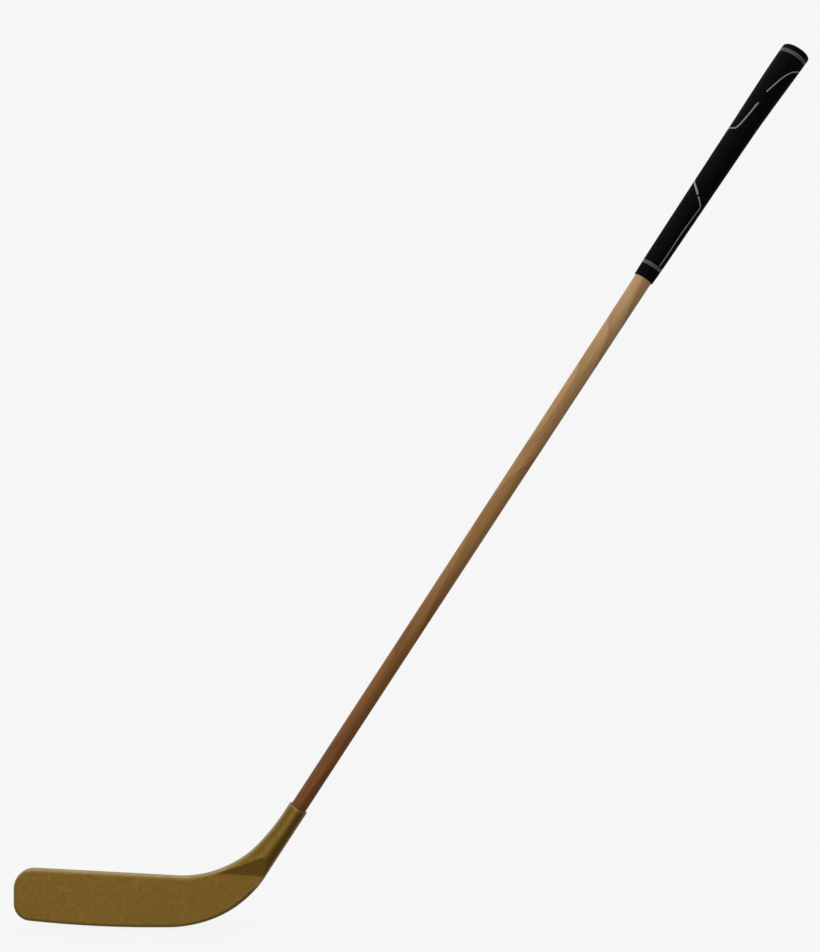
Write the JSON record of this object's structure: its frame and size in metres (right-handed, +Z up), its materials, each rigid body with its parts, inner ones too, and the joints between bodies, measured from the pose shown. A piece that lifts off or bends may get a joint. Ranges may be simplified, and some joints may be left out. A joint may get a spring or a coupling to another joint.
{
  "type": "hockey-stick-shaped club",
  "caption": "Hockey-stick-shaped club: flat gold metal blade with a round hosel, tapered wooden shaft and black rubber grip with a flared butt and grey rings.",
  "frame": {"origin": "middle of the flat land on the blade's sole, where the blade stands on the ground", "axes": "+Z up, +X from the toe towards the heel and the shaft, +Y from the front face of the blade to its back face; the shaft line lies in the XZ plane at 56.9 degrees to the ground"},
  "size_m": [0.7665, 0.0284, 0.8521],
  "materials": {
    "gold_metal": "satin gold with a fine cast grain",
    "epoxy": "cured epoxy, hidden",
    "shaft_wood": "satin lacquer over long straight grain, tan at the top to reddish brown at the hosel",
    "grip_tape": "double-sided paper tape, hidden",
    "black_rubber": "matt black with pale painted lines",
    "grey_ring": "satin grey"
  },
  "bodies": {
    "root": {"blade_head": "gold_metal", "hosel_adhesive": "epoxy", "wooden_shaft": "shaft_wood", "grip_tape": "grip_tape", "grip_sleeve": "black_rubber", "lower_ring": "grey_ring", "upper_ring": "grey_ring", "grip_end_cap": "black_rubber"}
  },
  "joints": []
}
